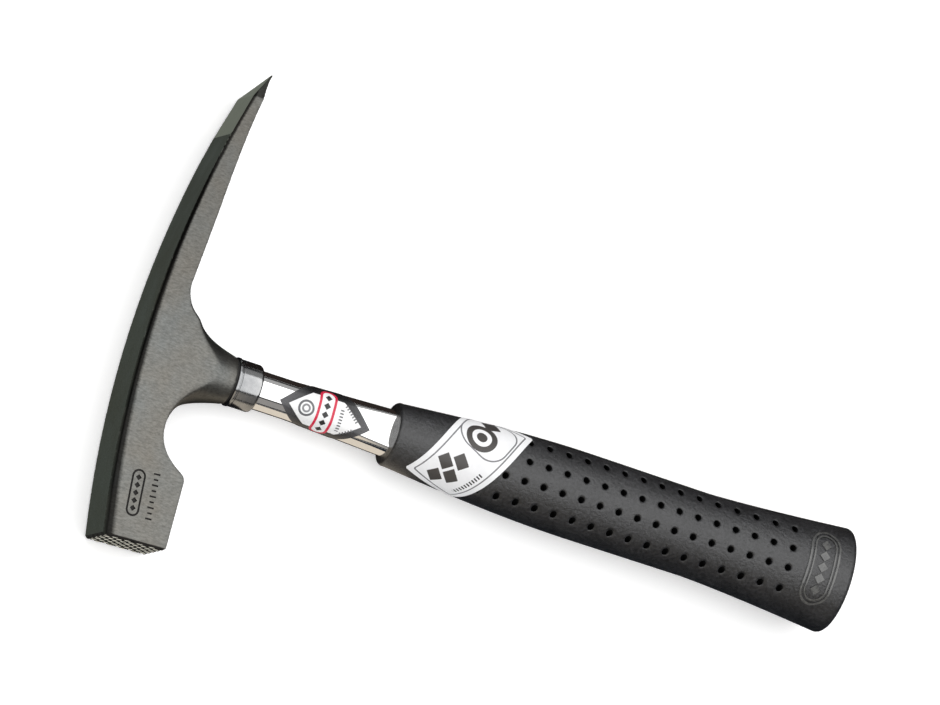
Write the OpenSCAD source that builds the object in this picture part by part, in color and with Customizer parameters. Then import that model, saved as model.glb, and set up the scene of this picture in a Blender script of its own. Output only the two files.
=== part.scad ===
// Rock hammer with a forged head on a tubular steel shaft, lying on its side.
// +X runs along the handle towards the butt, +Y towards the tip of the pick, +Z up.
// The origin is under the middle of the whole tool, on the surface that it lies on.
// The outlines are drawn from the handle's axis, with X = 0 at the ferrule's front end.

/* [Head] */
// Thickness of the head between its two cheeks
head_thickness = 24.5; // [18:0.5:32]
// Distance from the ferrule's front end to the crown of the outer face
head_reach = 53.6; // [46:0.1:66]
// Radius of the curved outer face
outer_radius = 410; // [330:5:600]
// How far the crown of the outer face lies below the handle's axis
crown_drop = 10; // [0:1:20]
// Radius of the soft edges between the outer face and the cheeks
outer_edge_r = 2.4; // [1:0.1:4]

/* [Pick] */
// Height of the pick's tip above the handle's axis
pick_rise = 121.9; // [95:0.1:150]
// How far the bevel sets the tip back from the curve of the outer face
tip_back = 5; // [2:0.1:8]
// Length of the steep bevel that forms the tip, along the pick
bevel_length = 12; // [8:0.1:20]
// Depth of the pick at its root, from the outer face to the inner edge
pick_root_depth = 13.3; // [10:0.1:16]
// Height of the pick's root above the handle's axis
pick_root_rise = 30; // [26:0.5:36]
// Thickness of the pick where its cheeks turn in to the point
pick_end_thickness = 19.2; // [12:0.2:24]
// Length over which the cheeks turn in to the point
point_length = 11.9; // [6:0.1:20]
// Width of the blunt end of the point
point_flat = 0.8; // [0.4:0.1:2]

/* [Poll] */
// Depth of the striking face's centre below the handle's axis
poll_drop = 75.4; // [64:0.1:92]
// Depth of the poll from the crown of the outer face to its inner side
poll_depth = 31.6; // [26:0.1:40]
// Height of the poll's straight inner side
poll_side = 32.4; // [20:0.1:34]
// Rounding of the poll's corner under the notch
poll_corner_r = 3.5; // [1:0.5:5]
// Tilt of the striking face, in degrees
face_tilt = 2.4; // [0:0.1:8]
// Chamfer round all four sides of the striking face
face_chamfer = 0.9; // [0.4:0.1:2]
// Depth of the web above the poll, from the crown of the outer face to the notch
web_depth = 18; // [14:0.1:24]
// Height of the notch's deepest point below the handle's axis
notch_drop = 27; // [23:0.5:32]

/* [Neck] */
// Diameter of the neck where it meets the seal
neck_d = 19.4; // [19:0.1:26]
// Depth of the blind socket that takes the tube
socket_depth = 26; // [18:0.5:30]
// Depth of the drill point at the bottom of the socket
drill_point = 4; // [1:0.5:5]

/* [Seal and ferrule] */
// Thickness of the seal ring
seal_t = 0.8; // [0.5:0.1:2]
// How far the seal stands back from the neck's surface
seal_setback = 0.5; // [0.2:0.1:1]
// Length of the ferrule with its flange
ferrule_length = 10.8; // [8:0.1:16]
// Outer diameter of the ferrule
ferrule_d = 19.4; // [18.8:0.1:26]
// Rounding of the ferrule's front edge
ferrule_edge_r = 1.5; // [0.5:0.1:1.5]
// Length of the ferrule's flange
flange_length = 1.3; // [1:0.1:4]
// How far the flange stands out from the ferrule
flange_lip = 0.3; // [0.2:0.1:1]
// Width of the groove turned next to the flange
groove_w = 0.5; // [0.3:0.1:1]

/* [Shaft] */
// Outer diameter of the tube at the head
tube_d = 15.8; // [13:0.1:16]
// Wall of the tube
tube_wall = 1.5; // [1:0.1:2.2]
// Length of the round tube in front of the ferrule, before it widens
round_length = 15; // [10:0.5:30]
// Distance from the ferrule's front end to the grip
bare_length = 57.8; // [40:0.2:80]
// Width of the tube at the grip
tube_width = 19.4; // [17:0.1:21]
// Thickness of the tube between its two flats at the grip
tube_thickness = 14.6; // [13:0.1:15.4]
// Distance from the tube's rear end to the butt of the grip
tube_end_gap = 12; // [9:0.5:20]

/* [Inside] */
// Length of the expansion plug
plug_length = 9; // [6:0.5:14]
// Taper of the expansion plug on its radius
plug_taper = 0.5; // [0.2:0.1:0.9]
// Gap between the expansion plug and the damping core
core_gap = 1; // [0.5:0.5:4]
// Length of the damping core
core_length = 40; // [25:1:50]
// Clearance of the damping core in the tube
core_clearance = 0.05; // [0:0.01:0.2]
// Length of the end plug's spigot in the tube
spigot_length = 12; // [6:1:24]
// Thickness of the end plug's flange
plug_flange_t = 2.5; // [1:0.5:4]
// How far the end plug's flange stands over the tube
plug_flange_lip = 0.8; // [0.4:0.1:2]

/* [Grip] */
// Length of the grip
grip_length = 197.6; // [150:0.1:240]
// Diameter of the grip at its front lip
lip_d = 26; // [23:0.1:30]
// Length of the small bead on the front lip
bead_length = 2.4; // [0.6:0.1:3]
// Diameter of the grip at its swell
swell_d = 35.2; // [30:0.1:44]
// Distance from the grip's front to its swell
swell_at = 82; // [60:1:100]
// Diameter of the grip at its waist
waist_d = 34.6; // [29:0.1:40]
// Distance from the waist to the butt edge
flare_length = 62.4; // [40:0.1:80]
// Diameter of the grip at its butt edge
butt_d = 43.1; // [36:0.1:50]
// Rounding of the butt edge
butt_edge_r = 2.2; // [1:0.1:4]
// Height of the domed end
dome_height = 2; // [1:0.1:6]

/* [Grip holes] */
// Diameter of the holes
hole_d = 2.5; // [1.5:0.1:4]
// Pitch of the holes, along and across the grip
hole_pitch = 8.165; // [6:0.005:9]
// Number of holes in each row
hole_columns = 17; // [6:1:17]
// Distance from the butt to the last hole of each row
hole_inset = 28.7; // [20:0.1:40]
// Depth of the holes below the top of the swell
hole_depth = 8; // [6:0.5:9]

/* [Labels] */
// Thickness of both labels
label_t = 0.2; // [0.1:0.05:0.4]
// Length of the tube label from point to point
tube_label_length = 39; // [25:0.5:40]
// Distance from the ferrule's front end to the middle of the tube label
tube_label_at = 29; // [22:0.5:36]
// Width of the grip label along the grip
grip_label_w = 25; // [15:0.5:30]
// Distance from the grip's front to the middle of the grip label
grip_label_at = 36; // [26:0.5:48]
// How far the grip label leans forward over the width of the grip
grip_label_lean = 20; // [0:0.5:24]
// Reach of the grip label to each side of the grip's middle line
grip_label_reach = 15.6; // [10:0.1:15.8]
// Rounding of the grip label's corners
label_corner_r = 2; // [0.5:0.1:4]

/* [Badge] */
// Length of the raised badge across the butt
badge_length = 30; // [15:0.5:32]
// Width of the raised badge
badge_w = 12; // [6:0.5:14]
// Distance from the butt edge to the middle of the badge
badge_inset = 13.4; // [7:0.1:16]
// How far the badge stands out
badge_height = 0.5; // [0.2:0.1:1]

/* [Hidden] */

round_fn = 96;
arc_fn = 720;
through = 1;

// Places along the handle's axis
neck_x = -(ferrule_length + seal_t);
socket_x = neck_x - socket_depth;
butt_x = bare_length + grip_length;
butt_edge_x = butt_x - dome_height;
tube_end_x = butt_x - tube_end_gap;
plug_end_x = socket_x + plug_length;
plug_r = tube_d / 2 - tube_wall;
flat_clearance = 0.13;

// The outer face at a height above the handle's axis
function outer_x(y) = outer_radius - head_reach - sqrt(pow(outer_radius, 2) - pow(y + crown_drop, 2));

// Places on the head's side outline
crown_x = -head_reach;
tip_x = outer_x(pick_rise) + tip_back;
root_x = crown_x + pick_root_depth;
poll_x = crown_x + poll_depth;
web_x = crown_x + web_depth;
poll_top_y = -poll_drop + poll_side;
neck_margin = 0.6;
outline_margin = 6;

// Handles of the curves on that outline, each drawn from the point it is named after
tip_handle = [-7.4, -13];
root_handle_up = [3.3, 30];
root_handle_down = [-0.3, -12];
neck_handle_up = [-14.6, 4.3];
neck_handle_down = [-14, -1.6];
web_handle_up = [0, 9.3];
web_handle_down = [0, -9];
corner_handle = [-5.2, 2.9];
corner_turn = 61;

// Handles of the neck's round flare, and how far it opens out at the web
flare_front_handle = [-11.4, 2.8];
flare_back_handle = [3.1, -13.2];
flare_rise = 18.5;

// The middle of the striking face, and half its depth without the chamfers
face_middle = [(poll_x + outer_x(-poll_drop)) / 2, -poll_drop];
face_half = poll_x - face_middle.x - face_chamfer;

// The whole tool's box, from which its origin is taken
box_low = [crown_x, face_middle.y - face_half * sin(face_tilt), -butt_d / 2];
box_high = [butt_x, pick_rise, butt_d / 2];
origin = [(box_low.x + box_high.x) / 2, (box_low.y + box_high.y) / 2, box_low.z];

// Point at t on the curve that leaves a towards b and reaches d from c
function curve_point(a, b, c, d, t) =
    pow(1 - t, 3) * a + 3 * t * pow(1 - t, 2) * b + 3 * t * t * (1 - t) * c + pow(t, 3) * d;

// The curve's points, without its last one
function curve(a, b, c, d, steps) = [for (i = [0:steps - 1]) curve_point(a, b, c, d, i / steps)];

// Points of a circular arc
function arc(centre, r, from, to, steps) =
    [for (i = [0:steps]) let (w = from + (to - from) * i / steps) centre + r * [cos(w), sin(w)]];

module placed() {
    translate(-origin) children();
}

// Turns a profile given as [distance along the handle, radius] about the handle's axis
module turned(profile) {
    rotate([0, 90, 0]) rotate_extrude($fn = round_fn)
        polygon([for (p = profile) [p.y, p.x]]);
}

// ---- Head ----

// The head seen from its cheek. Its outer side and its striking end are left oversize to be cut later.
function pick_outline() =
    let (
        tip = [tip_x, pick_rise],
        root = [root_x, pick_root_rise],
        neck = [neck_x, neck_d / 2 + neck_margin],
        bevel_end = tip - [point_flat, 0],
        bevel_slope = bevel_length / (bevel_end.x - outer_x(pick_rise - bevel_length)),
        outer = crown_x - outline_margin
    )
    concat(
        [[outer, bevel_end.y - (bevel_end.x - outer) * bevel_slope], bevel_end],
        curve(tip, tip + tip_handle, root + root_handle_up, root, 14),
        curve(root, root + root_handle_down, neck + neck_handle_up, neck, 12),
        [neck]
    );

function poll_outline() =
    let (
        neck = [neck_x, -neck_d / 2 - neck_margin],
        web = [web_x, -notch_drop],
        corner = [poll_x - poll_corner_r, poll_top_y - poll_corner_r],
        corner_start = corner + poll_corner_r * [cos(corner_turn), sin(corner_turn)],
        bottom = -poll_drop - outline_margin
    )
    concat(
        curve(neck, neck + neck_handle_down, web + web_handle_up, web, 12),
        curve(web, web + web_handle_down, corner_start + corner_handle, corner_start, 10),
        arc(corner, poll_corner_r, corner_turn, 0, 5),
        [[poll_x, bottom], [crown_x - outline_margin, bottom]]
    );

// The head seen along the handle: even at the poll, tapered along the pick, drawn to a point
module front_outline() {
    half = head_thickness / 2;
    end_half = pick_end_thickness / 2;
    flat_half = point_flat / 2;
    point_y = pick_rise - point_length;
    taper_y = pick_rise / 2;
    bottom_y = -poll_drop - poll_depth;
    polygon([
        [-half, bottom_y], [-half, taper_y], [-end_half, point_y], [-flat_half, pick_rise],
        [flat_half, pick_rise], [end_half, point_y], [half, taper_y], [half, bottom_y]
    ]);
}

// Everything above the striking face, which is chamfered on all four sides and tilted
module above_striking_face() {
    half = head_thickness / 2 - face_chamfer;
    reach = pick_rise + poll_drop + poll_depth;
    translate(face_middle) rotate([0, 0, face_tilt]) intersection() {
        translate([0, 0, -head_thickness]) linear_extrude(2 * head_thickness)
            polygon([
                [-face_half, 0], [face_half, 0], [face_half + reach, reach],
                [face_half + reach, 2 * reach], [-face_half - reach, 2 * reach], [-face_half - reach, reach]
            ]);
        rotate([90, 0, 90]) translate([0, 0, -reach]) linear_extrude(2 * reach)
            polygon([
                [0, -half], [0, half], [reach, half + reach],
                [2 * reach, half + reach], [2 * reach, -half - reach], [reach, -half - reach]
            ]);
    }
}

// Everything inside the curved outer face, with its soft edges towards the cheeks
module inside_outer_face() {
    half = head_thickness / 2;
    corner = outer_radius - outer_edge_r;
    inner_r = outer_radius - head_reach - poll_depth;
    translate([outer_radius - head_reach, -crown_drop, 0])
        rotate_extrude($fn = arc_fn)
            polygon(concat(
                [[inner_r, -half]],
                arc([corner, outer_edge_r - half], outer_edge_r, -90, 0, 6),
                arc([corner, half - outer_edge_r], outer_edge_r, 0, 90, 6),
                [[inner_r, half]]
            ));
}

// The round flare of the neck, and clear space round the pick, the poll and the web
module neck_room() {
    reach = pick_rise + poll_drop;
    neck = [neck_x, neck_d / 2];
    flare_end = [web_x, neck_d / 2 + flare_rise];
    turned(concat(
        curve(neck, neck + flare_front_handle, flare_end + flare_back_handle, flare_end, 12),
        [flare_end, flare_end - [outline_margin, 0], [web_x - outline_margin, 0], [neck_x, 0]]
    ));
    translate([web_x - reach, -reach, -reach]) cube([reach, 2 * reach, 2 * reach]);
    translate([web_x - reach, pick_root_rise, -reach]) cube([2 * reach, reach, 2 * reach]);
    translate([web_x - reach, -notch_drop - reach, -reach]) cube([2 * reach, reach, 2 * reach]);
}

module head() {
    color("dimgray") placed() difference() {
        intersection() {
            translate([0, 0, -head_thickness])
                linear_extrude(2 * head_thickness) polygon(concat(pick_outline(), poll_outline()));
            translate([through, 0, 0]) rotate([0, -90, 0])
                linear_extrude(head_reach + 2 * outline_margin) front_outline();
            above_striking_face();
            inside_outer_face();
            neck_room();
        }
        turned([[socket_x - drill_point, 0], [socket_x, tube_d / 2], [through, tube_d / 2], [through, 0]]);
    }
}

// ---- Seal and ferrule ----

module neck_seal() {
    seal_r = neck_d / 2 - seal_setback;
    color("black") placed()
        turned([
            [neck_x, tube_d / 2], [neck_x, seal_r],
            [neck_x + seal_t, seal_r], [neck_x + seal_t, tube_d / 2]
        ]);
}

module ferrule() {
    r = ferrule_d / 2;
    back_x = -ferrule_length;
    flange_x = back_x + flange_length;
    groove_end = flange_x + groove_w;
    color("lightgray") placed()
        turned(concat(
            [[back_x, tube_d / 2], [back_x, r + flange_lip / 2], [back_x + flange_lip / 2, r + flange_lip]],
            [[flange_x, r + flange_lip], [flange_x, r - groove_w / 2], [groove_end, r - groove_w / 2]],
            [[groove_end, r]],
            arc([-ferrule_edge_r, r - ferrule_edge_r], ferrule_edge_r, 90, 0, 6),
            [[0, tube_d / 2]]
        ));
}

// ---- Shaft ----

// The tube's outer surface, or its inner one, moved in or out by a named amount
module tube_surface(from_x, to_x, offset = 0) {
    r = tube_d / 2 + offset;
    wide_r = tube_width / 2 + offset;
    half_t = tube_thickness / 2 + offset;
    flat_start = r + flat_clearance;
    intersection() {
        turned([
            [from_x, 0], [from_x, r], [round_length, r],
            [bare_length, wide_r], [to_x, wide_r], [to_x, 0]
        ]);
        rotate([90, 0, 0]) translate([0, 0, -tube_width]) linear_extrude(2 * tube_width)
            polygon([
                [from_x, -flat_start], [round_length, -flat_start], [bare_length, -half_t], [to_x, -half_t],
                [to_x, half_t], [bare_length, half_t], [round_length, flat_start], [from_x, flat_start]
            ]);
    }
}

// The tapered plug that spreads the tube in the socket
module plug_shape() {
    turned([[socket_x, 0], [socket_x, plug_r + plug_taper], [plug_end_x, plug_r], [plug_end_x, 0]]);
}

module shaft_tube() {
    color("gainsboro") placed() difference() {
        tube_surface(socket_x, tube_end_x);
        tube_surface(socket_x - through, tube_end_x + through, -tube_wall);
        plug_shape();
    }
}

module expansion_plug() {
    color("slategray") placed() plug_shape();
}

module damping_core() {
    core_x = plug_end_x + core_gap;
    core_r = plug_r - core_clearance;
    color("burlywood") placed()
        turned([[core_x, 0], [core_x, core_r], [core_x + core_length, core_r], [core_x + core_length, 0]]);
}

// The end plug's flange, which the grip is moulded over
module plug_flange() {
    flange_r = tube_width / 2 + plug_flange_lip;
    turned([
        [tube_end_x, 0], [tube_end_x, flange_r],
        [tube_end_x + plug_flange_t, flange_r], [tube_end_x + plug_flange_t, 0]
    ]);
}

module end_plug() {
    color("darkslategray") placed() {
        plug_flange();
        intersection() {
            tube_surface(socket_x, tube_end_x + plug_flange_t / 2, -tube_wall);
            translate([tube_end_x - spigot_length, -butt_d, -butt_d])
                cube([spigot_length + plug_flange_t / 2, 2 * butt_d, 2 * butt_d]);
        }
    }
}

// ---- Grip ----

// The grip's outer profile: a quarter wave up to the swell, an easy line to the waist, then the flare
module grip_surface(offset = 0) {
    lip_r = lip_d / 2;
    swell_r = swell_d / 2;
    waist_r = waist_d / 2;
    butt_r = butt_d / 2;
    front_steps = 14;
    flare_steps = 12;
    swell_x = bare_length + swell_at;
    waist_x = butt_edge_x - flare_length;
    flare_power = 1.35;
    edge = butt_edge_r;
    turned(concat(
        [[bare_length - offset, 0], [bare_length - offset, lip_r - bead_length / 2 + offset]],
        [[bare_length + bead_length / 2, lip_r + offset]],
        [for (i = [0:front_steps]) let (s = i / front_steps)
            [bare_length + bead_length + s * (swell_at - bead_length),
             lip_r + offset + (swell_r - lip_r) * sin(90 * s)]],
        [for (i = [0:flare_steps - 1]) let (s = i / flare_steps)
            [waist_x + s * (flare_length - edge), waist_r + offset + (butt_r - waist_r) * pow(s, flare_power)]],
        arc([butt_edge_x - edge, butt_r - edge], edge + offset, 90, 18, 5),
        [[butt_x + offset, butt_r / 3], [butt_x + offset, 0]]
    ));
}

// One side's holes, straight down into the grip
module grip_holes() {
    last_x = butt_x - hole_inset;
    bottom_z = swell_d / 2 - hole_depth;
    for (column = [0:hole_columns - 1], row = [-1.5:1:1.5])
        translate([last_x - column * hole_pitch, row * hole_pitch, bottom_z])
            cylinder(d = hole_d, h = butt_d, $fn = 24);
}

// The raised oblong badge on one side of the butt, following the grip's surface
module badge() {
    end_r = badge_w / 2;
    run = badge_length / 2 - end_r;
    intersection() {
        grip_surface(badge_height);
        translate([butt_edge_x - badge_inset, 0, 0]) {
            translate([0, run, 0]) cylinder(r = end_r, h = butt_d, $fn = round_fn);
            translate([0, -run, 0]) cylinder(r = end_r, h = butt_d, $fn = round_fn);
            translate([-end_r, -run, 0]) cube([badge_w, 2 * run, butt_d]);
        }
    }
}

module grip() {
    color([0.12, 0.12, 0.12]) placed() difference() {
        union() {
            grip_surface();
            badge();
        }
        tube_surface(socket_x, tube_end_x);
        plug_flange();
        grip_holes();
        mirror([0, 0, 1]) grip_holes();
    }
}

// ---- Labels ----

module tube_label() {
    half_l = tube_label_length / 2;
    half_w = tube_width / 2 + 1;
    color("crimson") placed() intersection() {
        difference() {
            tube_surface(0, bare_length, label_t);
            tube_surface(-through, bare_length + through);
        }
        translate([tube_label_at, 0, 0]) linear_extrude(tube_width)
            polygon([[-half_l, 0], [0, -half_w], [half_l, 0], [0, half_w]]);
    }
}

// The grip label's outline: a leaning band with rounded corners
module grip_label_outline() {
    r = label_corner_r;
    half_w = grip_label_w / 2 - r;
    half_h = grip_label_reach - r;
    lean = grip_label_lean / 2;
    slant = atan2(half_h, lean);
    polygon(concat(
        arc([-half_w - lean, -half_h], r, slant + 90, 270, 6),
        arc([half_w - lean, -half_h], r, -90, slant - 90, 6),
        arc([half_w + lean, half_h], r, slant - 90, 90, 6),
        arc([lean - half_w, half_h], r, 90, slant + 90, 6)
    ));
}

module grip_label() {
    color("white") placed() intersection() {
        difference() {
            grip_surface(label_t);
            grip_surface();
        }
        translate([bare_length + grip_label_at, 0, 0]) linear_extrude(butt_d) grip_label_outline();
    }
}

head();
neck_seal();
ferrule();
shaft_tube();
expansion_plug();
damping_core();
end_plug();
grip();
tube_label();
grip_label();
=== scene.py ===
import math

import bpy
from mathutils import Matrix, Vector


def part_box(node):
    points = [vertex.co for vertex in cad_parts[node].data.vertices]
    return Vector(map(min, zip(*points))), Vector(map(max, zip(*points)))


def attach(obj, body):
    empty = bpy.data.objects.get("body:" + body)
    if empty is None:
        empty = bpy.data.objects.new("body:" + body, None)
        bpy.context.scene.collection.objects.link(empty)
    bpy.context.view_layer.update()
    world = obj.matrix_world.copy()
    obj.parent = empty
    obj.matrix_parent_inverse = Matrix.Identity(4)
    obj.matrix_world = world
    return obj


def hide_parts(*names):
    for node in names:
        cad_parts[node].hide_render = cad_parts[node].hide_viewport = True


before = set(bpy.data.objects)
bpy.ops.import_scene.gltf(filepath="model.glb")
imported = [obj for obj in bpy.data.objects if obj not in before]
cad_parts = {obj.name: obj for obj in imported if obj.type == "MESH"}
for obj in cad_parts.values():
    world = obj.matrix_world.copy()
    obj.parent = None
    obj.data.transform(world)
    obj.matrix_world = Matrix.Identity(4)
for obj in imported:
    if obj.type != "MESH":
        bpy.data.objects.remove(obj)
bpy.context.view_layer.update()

# ---------------------------------------------------------------------------
# Camera. It stands high above the hammer, off the head's end, so that the upper
# cheek, the outer face and the striking face all show. A long lens keeps it flat.
# ---------------------------------------------------------------------------
towards_camera = Vector((-0.302, -0.177, 0.937)).normalized()
camera_right = Vector((0.905, 0.257, 0.340)).normalized()
camera_up = towards_camera.cross(camera_right)
camera_aim = Vector((-0.01800, 0.01841, 0.02155))
camera_lens = 1000.0
sensor_width = 36.0
view_width = 0.3713

camera_data = bpy.data.cameras.new("camera")
camera_data.lens = camera_lens
camera_data.sensor_width = sensor_width
camera_data.clip_end = 60.0
camera = bpy.data.objects.new("camera", camera_data)
bpy.context.scene.collection.objects.link(camera)
camera_axes = Matrix((camera_right, camera_up, towards_camera)).transposed().to_4x4()
camera_distance = view_width * camera_lens / sensor_width
camera.matrix_world = Matrix.Translation(camera_aim + towards_camera * camera_distance) @ camera_axes
bpy.context.scene.camera = camera
bpy.context.scene.view_settings.view_transform = "Standard"

# ---------------------------------------------------------------------------
# Forged head. One drop forging of tool steel: pick, poll, web and neck. It is
# blasted and dark tempered all over, then the point and the striking face are ground,
# the striking face is chequered, and a frame and a row of ticks are stamped in the cheek.
# ---------------------------------------------------------------------------
tube_low, tube_high = (Vector(corner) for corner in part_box("shaft_tube"))
head_low = Vector(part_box("head")[0])
axis_y = (tube_low.y + tube_high.y) / 2
axis_z = (tube_low.z + tube_high.z) / 2
ferrule_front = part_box("ferrule")[1][0]


def at(along, across, up=0.0):
    """A place given in millimetres from the ferrule's front end, on the handle's axis."""
    return Vector((ferrule_front + along / 1000, axis_y + across / 1000, axis_z + up / 1000))


def only(piece):
    """Leaves one piece selected and active, in object mode."""
    if bpy.context.mode != "OBJECT":
        bpy.ops.object.mode_set(mode="OBJECT")
    bpy.ops.object.select_all(action="DESELECT")
    piece.select_set(True)
    bpy.context.view_layer.objects.active = piece


def edit(piece, action="SELECT"):
    """Opens one piece in edit mode, with all of it selected or none."""
    only(piece)
    bpy.ops.object.mode_set(mode="EDIT")
    bpy.ops.mesh.select_mode(type="VERT")
    bpy.ops.mesh.select_all(action=action)


def pick_faces(piece, wanted):
    """Selects the faces that a test accepts, and stays in edit mode."""
    edit(piece, "DESELECT")
    bpy.ops.mesh.select_mode(type="FACE")
    bpy.ops.object.mode_set(mode="OBJECT")
    for face in piece.data.polygons:
        face.select = wanted(face)
    bpy.ops.object.mode_set(mode="EDIT")


def worked(piece, kind, **settings):
    """Adds one modifier and applies it."""
    only(piece)
    modifier = piece.modifiers.new(kind.lower(), kind)
    for name, value in settings.items():
        setattr(modifier, name, value)
    bpy.ops.object.modifier_apply(modifier=modifier.name)


def joined(pieces, name):
    """Joins pieces into the first one."""
    only(pieces[0])
    for piece in pieces[1:]:
        piece.select_set(True)
    bpy.ops.object.join()
    pieces[0].name = name
    return pieces[0]


def settled(piece):
    """Applies the piece's place to its mesh, so that the piece itself sits at the origin."""
    only(piece)
    bpy.ops.object.transform_apply(location=True, rotation=True, scale=True)
    return piece


def cut(piece, cutter, operation="DIFFERENCE"):
    """Cuts or joins one closed piece with another, which is used up."""
    worked(piece, "BOOLEAN", object=cutter, operation=operation, solver="MANIFOLD")
    bpy.data.objects.remove(cutter)


def with_materials(piece, materials, slot=0):
    """Gives a piece its material slots, and one of them to all its faces."""
    piece.data.materials.clear()
    for material in materials:
        piece.data.materials.append(material)
    for face in piece.data.polygons:
        face.material_index = slot


def material(name, **sockets):
    """A new material with plain values on its shader."""
    made = bpy.data.materials.new(name)
    made.use_nodes = True
    shader = made.node_tree.nodes["Principled BSDF"]
    for socket, value in sockets.items():
        shader.inputs[socket.replace("_", " ")].default_value = value
    return made


def node(made, kind, inputs=None, **settings):
    """Adds a node to a material, with its settings, and its inputs as values or wired sockets."""
    added = made.node_tree.nodes.new("ShaderNode" + kind)
    for name, value in settings.items():
        setattr(added, name, value)
    for name, value in (inputs or {}).items():
        if isinstance(value, bpy.types.NodeSocket):
            made.node_tree.links.new(value, added.inputs[name])
        else:
            added.inputs[name].default_value = value
    return added


def to_shader(made, **sockets):
    """Wires sockets into a material's shader."""
    shader = made.node_tree.nodes["Principled BSDF"]
    for socket, value in sockets.items():
        made.node_tree.links.new(value, shader.inputs[socket.replace("_", " ")])


def grain(made, stretch, detail=4.0, roughness=0.6, turn=(0, 0, 0)):
    """Noise in the piece's own space, with its own fineness along each axis."""
    place = node(made, "TexCoord").outputs["Object"]
    mapping = node(made, "Mapping", {"Vector": place, "Rotation": turn, "Scale": stretch})
    noise = node(
        made,
        "TexNoise",
        {"Vector": mapping.outputs["Vector"], "Scale": 1.0, "Detail": detail, "Roughness": roughness},
    )
    return noise.outputs["Fac"]


def ramp(made, factor, *stops):
    """A colour ramp of (place, colour) stops over a factor."""
    added = node(made, "ValToRGB", {"Fac": factor})
    band = added.color_ramp
    while len(band.elements) < len(stops):
        band.elements.new(0.5)
    for element, (place, colour) in zip(band.elements, stops):
        element.position = place
        element.color = (*colour, 1.0)
    return added.outputs["Color"]


def blended(made, factor, low, high, kind="MIX"):
    """Mixes two colours by a factor."""
    mixed = node(made, "Mix", {"Factor": factor, "A": low, "B": high}, data_type="RGBA", blend_type=kind)
    return mixed.outputs["Result"]


def spread(made, factor, low, high):
    """Spreads the middle of a noise over a range of values."""
    limits = {"From Min": 0.3, "From Max": 0.7, "To Min": low, "To Max": high}
    return node(made, "MapRange", {"Value": factor, **limits}).outputs["Result"]


def bumped(made, height, strength, distance, under=None):
    """A bump over a height, with another bump under it."""
    inputs = {"Height": height, "Strength": strength, "Distance": distance}
    if under is not None:
        inputs["Normal"] = under
    return node(made, "Bump", inputs).outputs["Normal"]


forged = material("forged_steel", Metallic=1.0)
streaks = grain(forged, (620.0, 1500.0, 900.0), detail=5.0, roughness=0.65, turn=(0, 0, math.radians(6)))
patches = grain(forged, (55.0, 40.0, 55.0), detail=3.0)
pits = grain(forged, (1500.0, 1500.0, 1500.0), detail=3.0)
streak_tone = ramp(forged, streaks, (0.30, (0.104, 0.102, 0.096)), (0.70, (0.184, 0.182, 0.172)))
patch_tone = ramp(forged, patches, (0.30, (0.90, 0.94, 0.96)), (0.70, (1.06, 1.02, 0.96)))
forged_tone = blended(forged, 1.0, streak_tone, patch_tone, "MULTIPLY")

# The cheek darkens up the pick, and painted shade darkens the outer face a little and a ragged band along
# its rounded edge onto the cheek nearly black
outer_radius = 0.410
crown = at(-53.6, -10.0)
arc_centre = Vector((crown.x + outer_radius, crown.y))
where = node(forged, "SeparateXYZ", {"Vector": node(forged, "TexCoord").outputs["Object"]})
up_the_pick = node(
    forged,
    "MapRange",
    {
        "Value": where.outputs["Y"],
        "From Min": at(0, 0).y,
        "From Max": at(0, 55).y,
        "To Min": 1.0,
        "To Max": 0.80,
    },
)
forged_tone = blended(forged, 1.0, forged_tone, up_the_pick.outputs["Result"], "MULTIPLY")
side_view = node(forged, "CombineXYZ", {"X": where.outputs["X"], "Y": where.outputs["Y"]})
from_centre = node(
    forged, "VectorMath", {0: side_view.outputs["Vector"], 1: (*arc_centre, 0)}, operation="DISTANCE"
)
inwards = node(forged, "Math", {0: outer_radius, 1: from_centre.outputs["Value"]}, operation="SUBTRACT")
ragged_by = 0.0006
ragged = node(
    forged, "Math", {0: streaks, 1: ragged_by, 2: inwards.outputs["Value"]}, operation="MULTIPLY_ADD"
)
edge_shade_width = node(
    forged,
    "MapRange",
    {
        "Value": where.outputs["Y"],
        "From Min": at(0, -70).y,
        "From Max": at(0, 60).y,
        "To Min": 0.0054,
        "To Max": 0.0022,
    },
)
across_edge_shade = node(
    forged, "Math", {0: ragged.outputs["Value"], 1: edge_shade_width.outputs["Result"]}, operation="DIVIDE"
)
# Painted shade: slightly dark on the outer face, near-black across its rounded edge, fading out on the
# cheek
edge_shade_tone = ramp(
    forged,
    across_edge_shade.outputs["Value"],
    (0.12, (0.80, 0.84, 0.80)),
    (0.26, (0.10, 0.10, 0.10)),
    (0.58, (0.12, 0.12, 0.12)),
    (0.92, (1.0, 1.0, 1.0)),
)
forged_tone = blended(forged, 1.0, forged_tone, edge_shade_tone, "MULTIPLY")
forged_relief = bumped(forged, streaks, 0.30, 0.00012, bumped(forged, pits, 0.22, 0.00010))
to_shader(
    forged, Base_Color=forged_tone, Roughness=spread(forged, patches, 0.36, 0.50), Normal=forged_relief
)

ground = material("ground_steel", Metallic=1.0)
ground_lines = grain(ground, (250.0, 250.0, 5200.0), detail=3.0, turn=(math.radians(8), 0, 0))
ground_tone = ramp(ground, ground_lines, (0.30, (0.34, 0.33, 0.29)), (0.72, (0.50, 0.49, 0.43)))
to_shader(
    ground,
    Base_Color=ground_tone,
    Roughness=spread(ground, ground_lines, 0.28, 0.42),
    Normal=bumped(ground, ground_lines, 0.35, 0.00008),
)

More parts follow.
